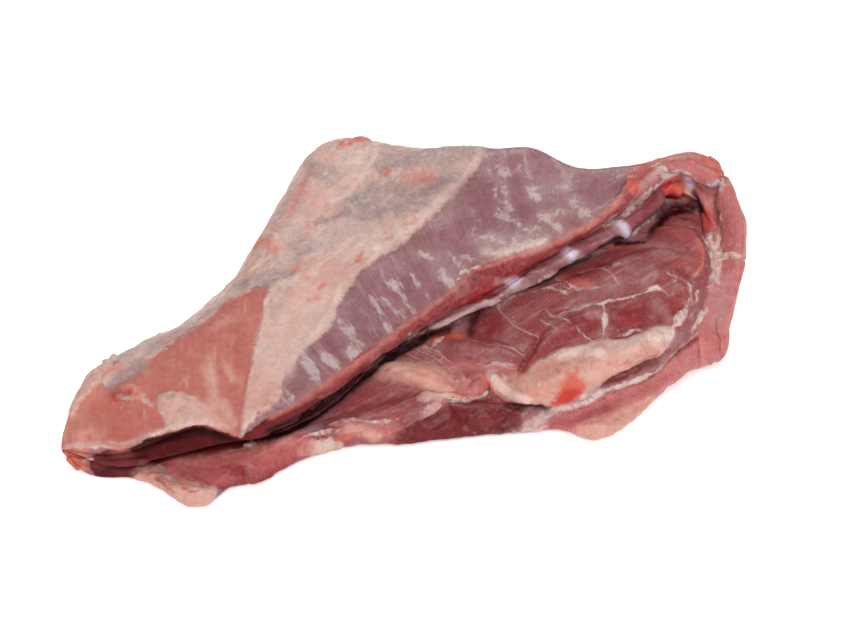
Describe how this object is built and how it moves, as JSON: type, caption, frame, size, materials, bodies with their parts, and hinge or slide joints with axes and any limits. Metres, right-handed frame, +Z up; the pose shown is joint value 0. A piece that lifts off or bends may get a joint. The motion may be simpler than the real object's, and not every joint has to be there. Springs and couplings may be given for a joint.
{
  "type": "raw pork flank",
  "caption": "Raw pork flank folded over on itself, fat on its outer face, with lean muscle and a soft fat roll showing in the open mouth of the fold.",
  "frame": {"origin": "on the table under the middle of the flank's bounding box", "axes": "+X along the flank from its pointed tip to the fold, +Y from the open mouth to the back, +Z up"},
  "size_m": [0.296, 0.2164, 0.0854],
  "materials": {
    "meat": "moist raw meat"
  },
  "bodies": {
    "root": {"pork_flank": "meat"}
  },
  "joints": []
}
